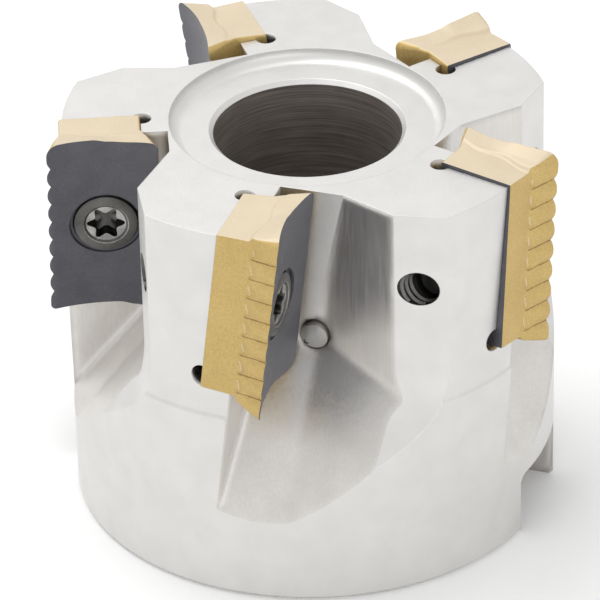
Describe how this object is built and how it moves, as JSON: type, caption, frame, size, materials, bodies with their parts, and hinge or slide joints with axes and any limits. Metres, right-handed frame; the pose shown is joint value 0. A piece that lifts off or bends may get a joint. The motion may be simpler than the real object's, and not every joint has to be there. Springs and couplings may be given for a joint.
{
  "type": "face mill",
  "caption": "Shell face mill with screwed-on serrated inserts standing in pockets, swept chip gullets, coolant nozzles and an arbor bore with a driving slot.",
  "frame": {"origin": "on the cutter's axis, in the plane of the arbor (back) face", "axes": "+Z along the axis from the arbor face to the cutting face; the first tooth points close to -Y and the teeth are numbered counterclockwise seen from +Z"},
  "size_m": [0.0479, 0.0482, 0.04],
  "materials": {
    "body_steel": "satin",
    "coated_carbide": "satin",
    "screw_steel": "satin",
    "nozzle_steel": "matte"
  },
  "bodies": {
    "cutter_body": {"body": "body_steel", "coolant_nozzle_1": "nozzle_steel", "coolant_nozzle_2": "nozzle_steel", "coolant_nozzle_3": "nozzle_steel", "coolant_nozzle_4": "nozzle_steel", "coolant_nozzle_5": "nozzle_steel"},
    "insert_1": {"insert_1": "coated_carbide"},
    "insert_screw_1": {"insert_screw_1": "screw_steel"},
    "insert_2": {"insert_2": "coated_carbide"},
    "insert_screw_2": {"insert_screw_2": "screw_steel"},
    "insert_3": {"insert_3": "coated_carbide"},
    "insert_screw_3": {"insert_screw_3": "screw_steel"},
    "insert_4": {"insert_4": "coated_carbide"},
    "insert_screw_4": {"insert_screw_4": "screw_steel"},
    "insert_5": {"insert_5": "coated_carbide"},
    "insert_screw_5": {"insert_screw_5": "screw_steel"}
  },
  "joints": [
    {"name": "insert_1_lift", "type": "slide", "parent": "cutter_body", "child": "insert_1", "axis": [0.9358, -0.3444, -0.0749], "range_m": [0, 0.002]},
    {"name": "screw_1_turn", "type": "hinge", "parent": "insert_1", "child": "insert_screw_1", "pos_m": [-0.00528, -0.01846, 0.03053], "axis": [0.9358, -0.3444, -0.0749], "range_deg": [0, 1029]},
    {"name": "insert_2_lift", "type": "slide", "parent": "cutter_body", "child": "insert_2", "axis": [0.6002, 0.7964, -0.0749], "range_m": [0, 0.002]},
    {"name": "screw_2_turn", "type": "hinge", "parent": "insert_2", "child": "insert_screw_2", "pos_m": [0.01615, -0.01039, 0.03053], "axis": [0.6002, 0.7964, -0.0749], "range_deg": [0, 1029]},
    {"name": "insert_3_lift", "type": "slide", "parent": "cutter_body", "child": "insert_3", "axis": [-0.5489, 0.8325, -0.0749], "range_m": [0, 0.002]},
    {"name": "screw_3_turn", "type": "hinge", "parent": "insert_3", "child": "insert_screw_3", "pos_m": [0.0152, 0.01173, 0.03053], "axis": [-0.5489, 0.8325, -0.0749], "range_deg": [0, 1029]},
    {"name": "insert_4_lift", "type": "slide", "parent": "cutter_body", "child": "insert_4", "axis": [-0.959, -0.2732, -0.0749], "range_m": [0, 0.002]},
    {"name": "screw_4_turn", "type": "hinge", "parent": "insert_4", "child": "insert_screw_4", "pos_m": [-0.00661, 0.01802, 0.03053], "axis": [-0.959, -0.2732, -0.0749], "range_deg": [0, 1029]},
    {"name": "insert_5_lift", "type": "slide", "parent": "cutter_body", "child": "insert_5", "axis": [0.0208, -0.997, -0.0749], "range_m": [0, 0.002]},
    {"name": "screw_5_turn", "type": "hinge", "parent": "insert_5", "child": "insert_screw_5", "pos_m": [-0.01911, -0.00182, 0.03053], "axis": [0.0208, -0.997, -0.0749], "range_deg": [0, 1029]}
  ],
  "couplings": [
    {"joint": "screw_1_turn", "follows": "insert_1_lift", "rad_per_m": 8976},
    {"joint": "screw_2_turn", "follows": "insert_2_lift", "rad_per_m": 8976},
    {"joint": "screw_3_turn", "follows": "insert_3_lift", "rad_per_m": 8976},
    {"joint": "screw_4_turn", "follows": "insert_4_lift", "rad_per_m": 8976},
    {"joint": "screw_5_turn", "follows": "insert_5_lift", "rad_per_m": 8976}
  ]
}
